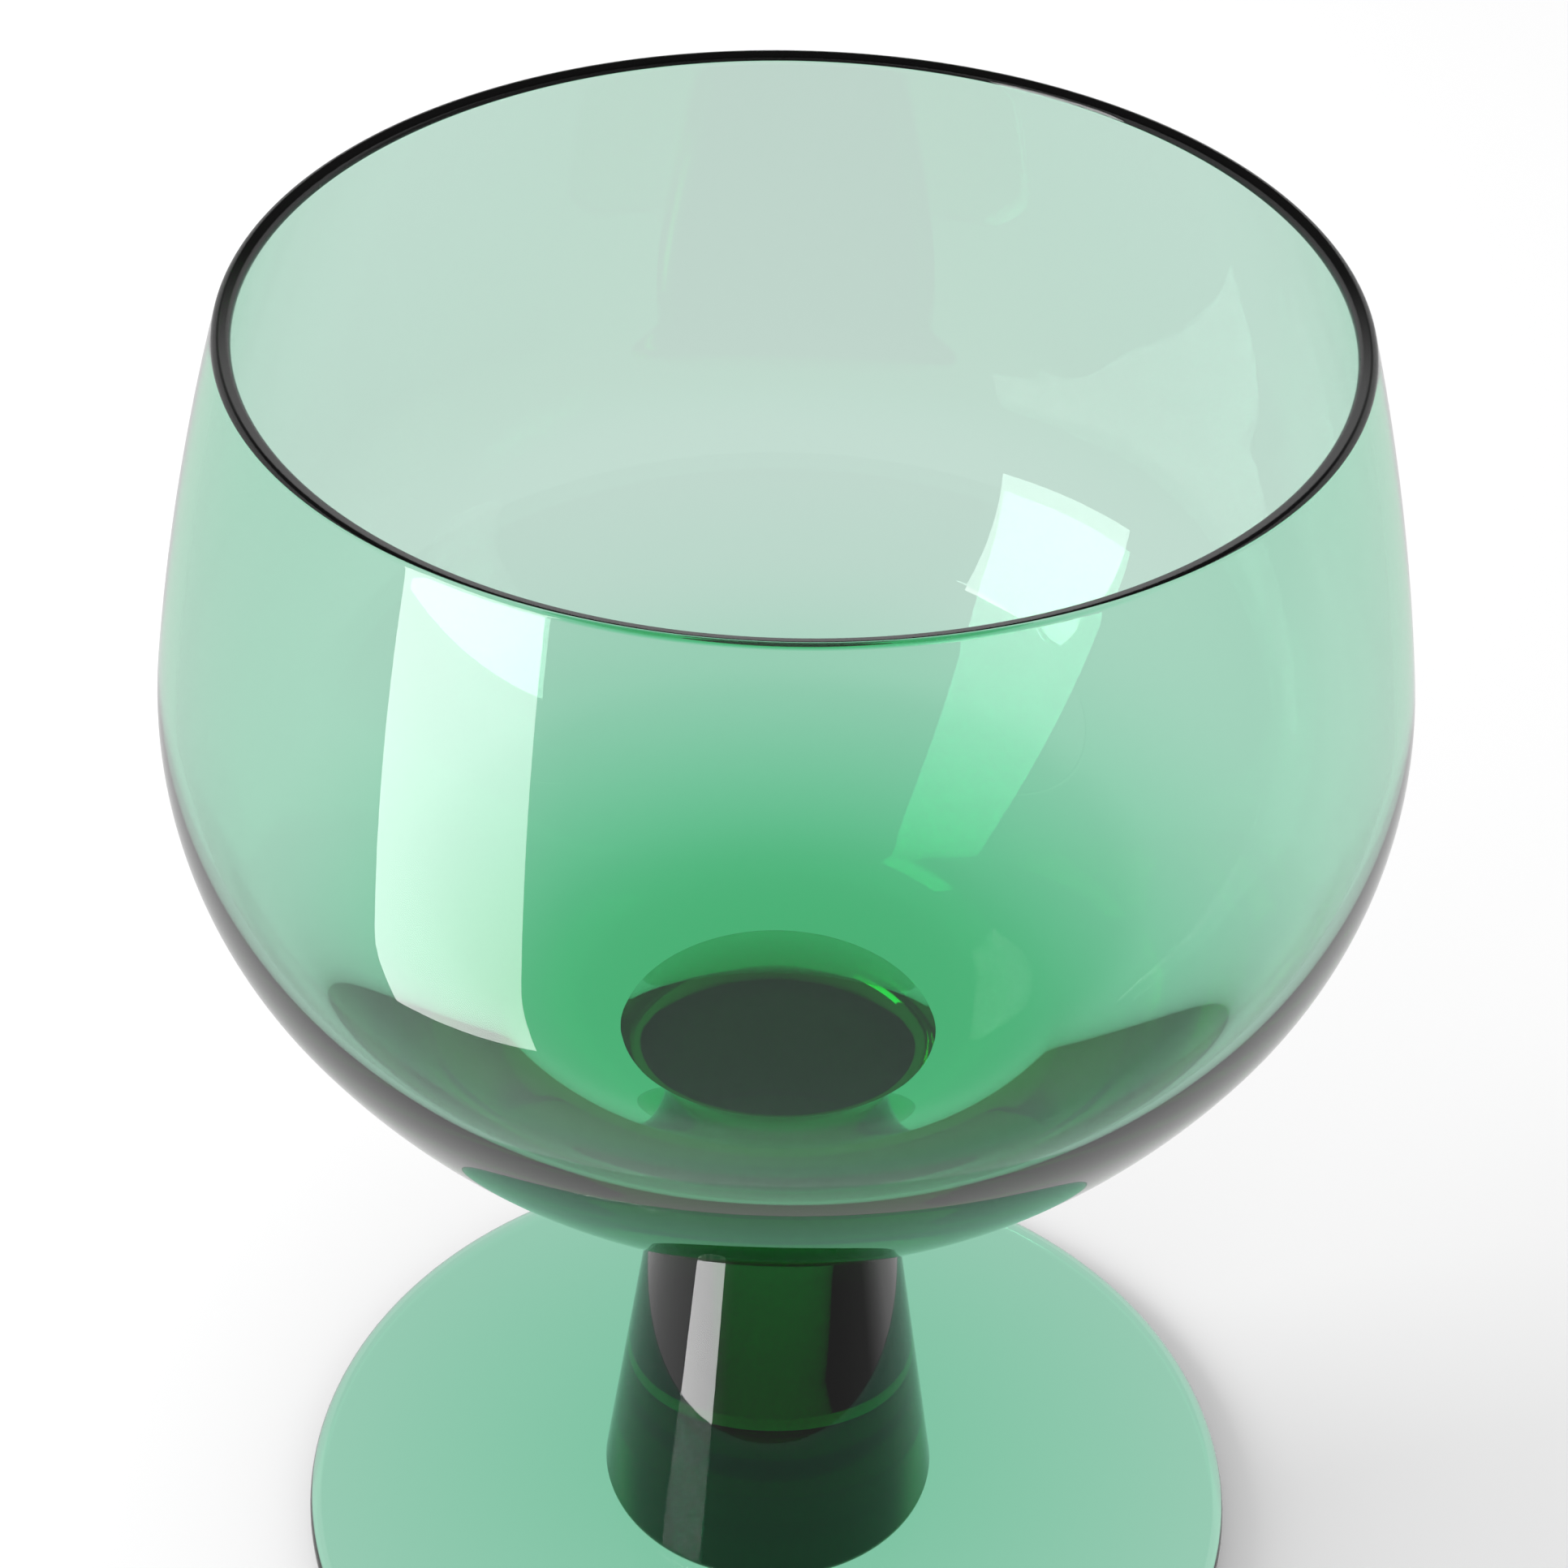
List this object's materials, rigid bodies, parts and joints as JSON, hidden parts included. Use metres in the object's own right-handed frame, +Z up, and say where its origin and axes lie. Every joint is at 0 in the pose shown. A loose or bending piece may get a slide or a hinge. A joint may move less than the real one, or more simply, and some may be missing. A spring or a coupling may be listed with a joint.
{
  "type": "wine glass",
  "caption": "Low wine glass: a tulip bowl of pale green glass with a rounded rim, on a short tapered solid stem and a flat round foot.",
  "frame": {"origin": "centre of the foot's underside, on the table", "axes": "+Z up along the axis that the glass is turned about; X and Y are level"},
  "size_m": [0.085, 0.085, 0.109],
  "materials": {
    "bowl_glass": "clear, tinted in the mass",
    "stem_glass": "clear, tinted in the mass, dark where it is thick",
    "foot_glass": "clear, tinted in the mass"
  },
  "bodies": {
    "root": {"bowl": "bowl_glass", "stem": "stem_glass", "foot": "foot_glass"}
  },
  "joints": []
}
